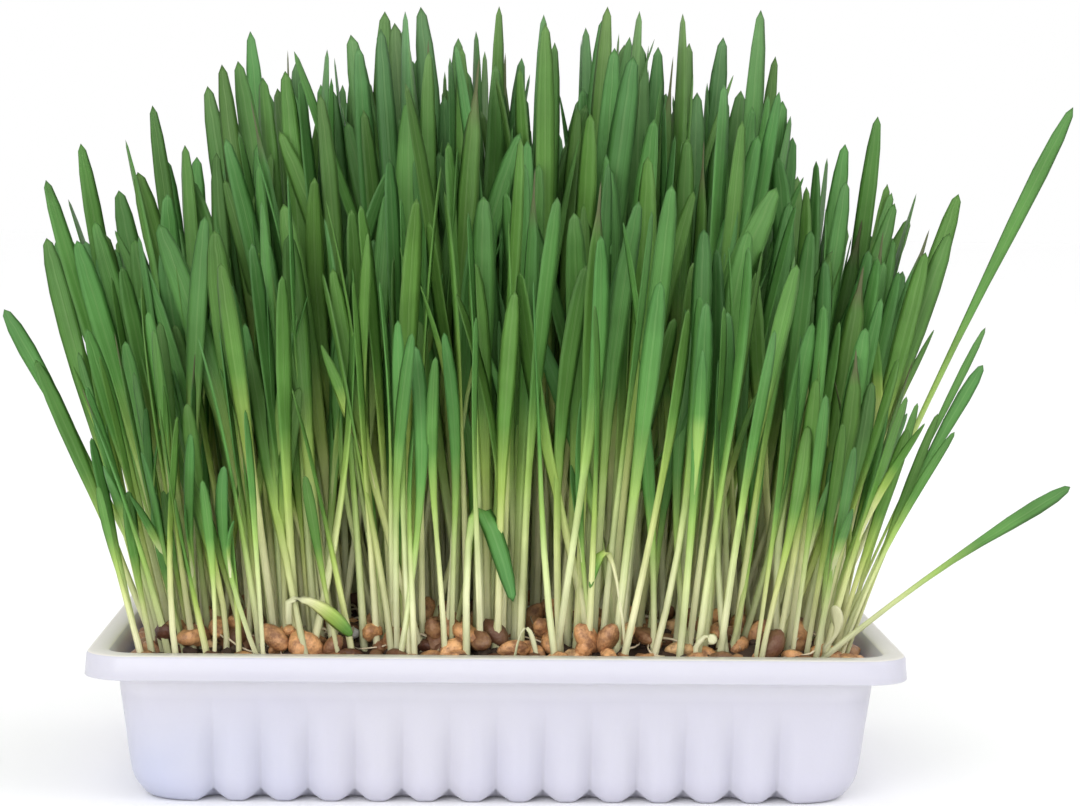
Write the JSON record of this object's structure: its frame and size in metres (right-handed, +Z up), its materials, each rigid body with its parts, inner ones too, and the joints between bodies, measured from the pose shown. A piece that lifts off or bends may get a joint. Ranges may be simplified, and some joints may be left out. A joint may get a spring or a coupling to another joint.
{
  "type": "wheatgrass tray",
  "caption": "Young wheatgrass growing thickly from sprouted grain and dark soil in a white fluted plastic tray.",
  "frame": {"origin": "middle of the tray's flat base, on the surface that the tray stands on", "axes": "+Z up, +X along the tray's long side, -Y towards the front of the tray"},
  "size_m": [0.255, 0.1606, 0.1856],
  "materials": {
    "tray_plastic": "satin",
    "soil": "matte",
    "grain": "satin",
    "grass": "satin"
  },
  "bodies": {
    "root": {"tray": "tray_plastic", "soil": "soil", "grain_bed": "grain", "tuft_1_1": "grass", "tuft_1_2": "grass", "tuft_1_3": "grass", "tuft_1_4": "grass", "tuft_1_5": "grass", "tuft_1_6": "grass", "tuft_1_7": "grass", "tuft_2_1": "grass", "tuft_2_2": "grass", "tuft_2_3": "grass", "tuft_2_4": "grass", "tuft_2_5": "grass", "tuft_2_6": "grass", "tuft_3_1": "grass", "tuft_3_2": "grass", "tuft_3_3": "grass", "tuft_3_4": "grass", "tuft_3_5": "grass", "tuft_3_6": "grass", "tuft_3_7": "grass", "tuft_4_1": "grass", "tuft_4_2": "grass", "tuft_4_3": "grass", "tuft_4_4": "grass", "tuft_4_5": "grass", "tuft_4_6": "grass"}
  },
  "joints": []
}
